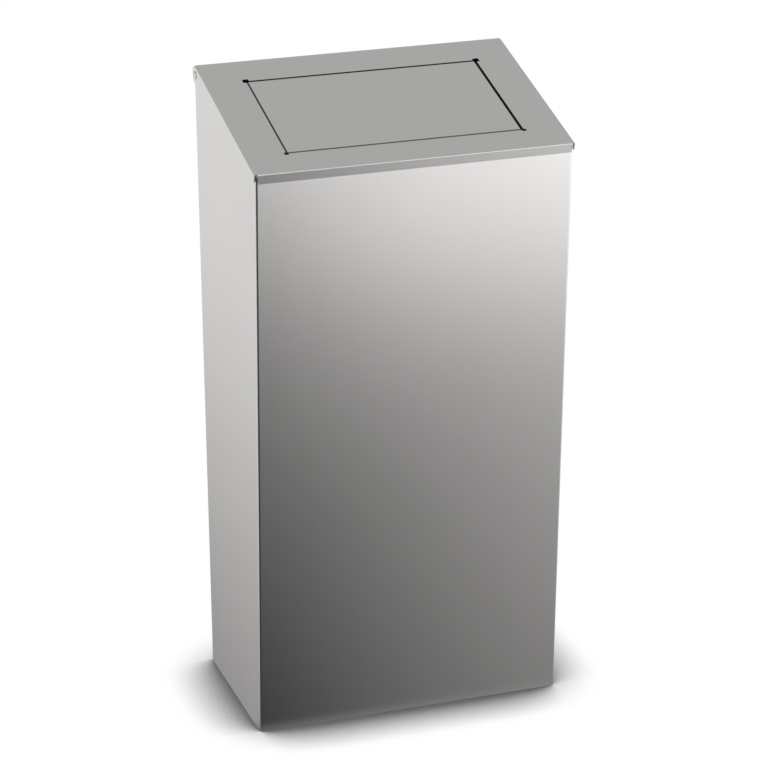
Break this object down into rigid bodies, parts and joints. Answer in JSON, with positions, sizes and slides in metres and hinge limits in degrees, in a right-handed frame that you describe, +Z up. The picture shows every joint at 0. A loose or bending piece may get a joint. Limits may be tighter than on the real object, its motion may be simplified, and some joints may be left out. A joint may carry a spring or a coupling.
{
  "type": "wall-mounted waste bin",
  "caption": "Slim brushed steel waste bin for a wall, with a leaning front, a sloping lid hinged at the rear and a sprung push-in flap set flush in the lid",
  "frame": {"origin": "under the middle of the bin, on the plane of its base", "axes": "+Z up, +Y towards the wall, +X to the right as seen from the front"},
  "size_m": [0.3056, 0.2, 0.612],
  "materials": {
    "brushed_sheet": "satin brushed stainless sheet, fine grain along the length of each face",
    "plain_steel": "plain drawn stainless wire and rivets, lightly burnished",
    "spring_wire": "hard-drawn spring wire, slightly darker",
    "nylon": "natural white nylon",
    "buffer_rubber": "soft black rubber"
  },
  "bodies": {
    "root": {"body_shell": "brushed_sheet", "back_panel": "brushed_sheet", "base_pan": "brushed_sheet", "hinge_doubler_left": "plain_steel", "hinge_doubler_right": "plain_steel", "hinge_rivet_left": "plain_steel", "hinge_rivet_right": "plain_steel", "hinge_washer_left": "nylon", "hinge_washer_right": "nylon", "bag_frame": "plain_steel", "bag_hook_left": "plain_steel", "bag_hook_right": "plain_steel", "bag_rest_left": "plain_steel", "bag_rest_right": "plain_steel"},
    "lid": {"lid_panel": "brushed_sheet", "flap_rod": "plain_steel", "rod_clip_left": "spring_wire", "rod_clip_right": "spring_wire", "flap_spring_left": "spring_wire", "flap_spring_right": "spring_wire", "flap_buffer_left": "buffer_rubber", "flap_buffer_right": "buffer_rubber"},
    "flap": {"flap_panel": "brushed_sheet", "flap_bush_left": "nylon", "flap_bush_right": "nylon"}
  },
  "joints": [
    {"name": "lid_hinge", "type": "hinge", "parent": "root", "child": "lid", "pos_m": [0, 0.0905, 0.60304], "axis": [-1, 0, 0], "range_deg": [0, 104]},
    {"name": "flap_hinge", "type": "hinge", "parent": "lid", "child": "flap", "pos_m": [0, 0.04886, 0.59349], "axis": [1, 0, 0], "range_deg": [0, 75], "stiffness_Nm_per_rad": 0.15, "springref_deg": -97.4, "deforming": ["flap_spring_left", "flap_spring_right"]}
  ]
}
